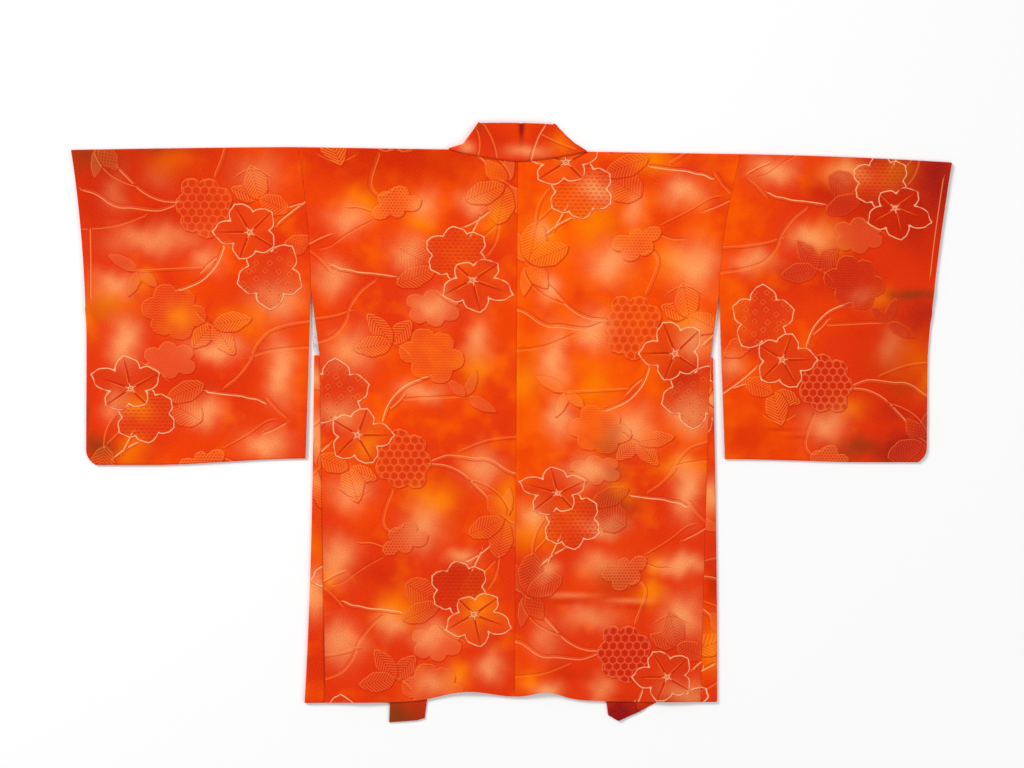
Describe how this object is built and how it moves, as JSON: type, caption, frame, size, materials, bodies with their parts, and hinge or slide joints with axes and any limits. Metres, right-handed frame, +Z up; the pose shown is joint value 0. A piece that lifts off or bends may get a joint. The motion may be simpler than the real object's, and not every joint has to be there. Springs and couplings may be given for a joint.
{
  "type": "haori jacket",
  "caption": "Hip-length kimono jacket laid flat with its back up, sleeves spread, fronts beneath and a collar band folded down behind the neck.",
  "frame": {"origin": "on the surface that the jacket lies on, under the middle of its outline", "axes": "+X to the wearer's right, +Y to the neck, +Z up from the surface, through the fronts and then the back"},
  "size_m": [1.279, 0.8677, 0.0086],
  "materials": {
    "silk": "soft sheen damask, cloud-dyed orange and red"
  },
  "bodies": {
    "root": {"body_left": "silk", "body_right": "silk", "sleeve_left": "silk", "sleeve_right": "silk", "gusset_left": "silk", "gusset_right": "silk", "collar": "silk"}
  },
  "joints": []
}
